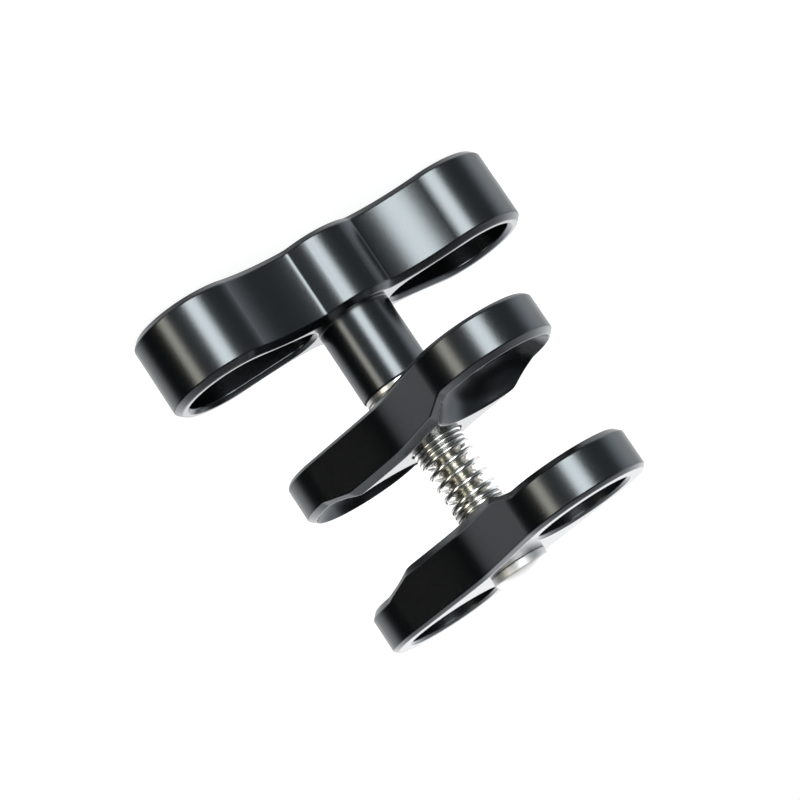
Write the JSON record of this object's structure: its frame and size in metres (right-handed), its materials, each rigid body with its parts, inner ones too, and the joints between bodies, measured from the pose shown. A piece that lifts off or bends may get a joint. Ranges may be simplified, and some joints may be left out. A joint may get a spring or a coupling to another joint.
{
  "type": "ball arm clamp",
  "caption": "Two-plate ball clamp that grips the ball ends of camera and light arms, closed by a wing handle on a sprung through screw.",
  "frame": {"origin": "on the screw's axis, in the plane of the wing handle's flat outer face", "axes": "+Z along the screw, from the wing handle to the screw's head. +X along the wing handle."},
  "size_m": [0.072, 0.0614, 0.0695],
  "materials": {
    "anodised": "satin",
    "stainless": "satin",
    "spring_wire": "polished"
  },
  "bodies": {
    "screw": {"clamp_screw": "stainless", "spring": "spring_wire"},
    "head_plate": {"lower_plate": "anodised"},
    "washers": {"thrust_washer": "stainless", "slip_washer": "stainless"},
    "sleeve_plate": {"upper_plate": "anodised"},
    "handle": {"wing_handle": "anodised"}
  },
  "joints": [
    {"name": "lower_plate_turn", "type": "hinge", "parent": "screw", "child": "head_plate", "pos_m": [0, 0, 0.0607], "axis": [0, 0, 1], "continuous": true},
    {"name": "clamp_travel", "type": "slide", "parent": "screw", "child": "washers", "axis": [0, 0, 1], "range_m": [-0.0021, 0.0071], "deforming": ["spring"]},
    {"name": "handle_turn", "type": "hinge", "parent": "washers", "child": "handle", "pos_m": [0, 0, 0.0074], "axis": [0, 0, 1], "range_deg": [-720, 2520]},
    {"name": "upper_plate_turn", "type": "hinge", "parent": "washers", "child": "sleeve_plate", "pos_m": [0, 0, 0.0358], "axis": [0, 0, 1], "continuous": true}
  ],
  "couplings": [
    {"joint": "clamp_travel", "follows": "handle_turn", "m_per_rad": 0.00015915}
  ]
}
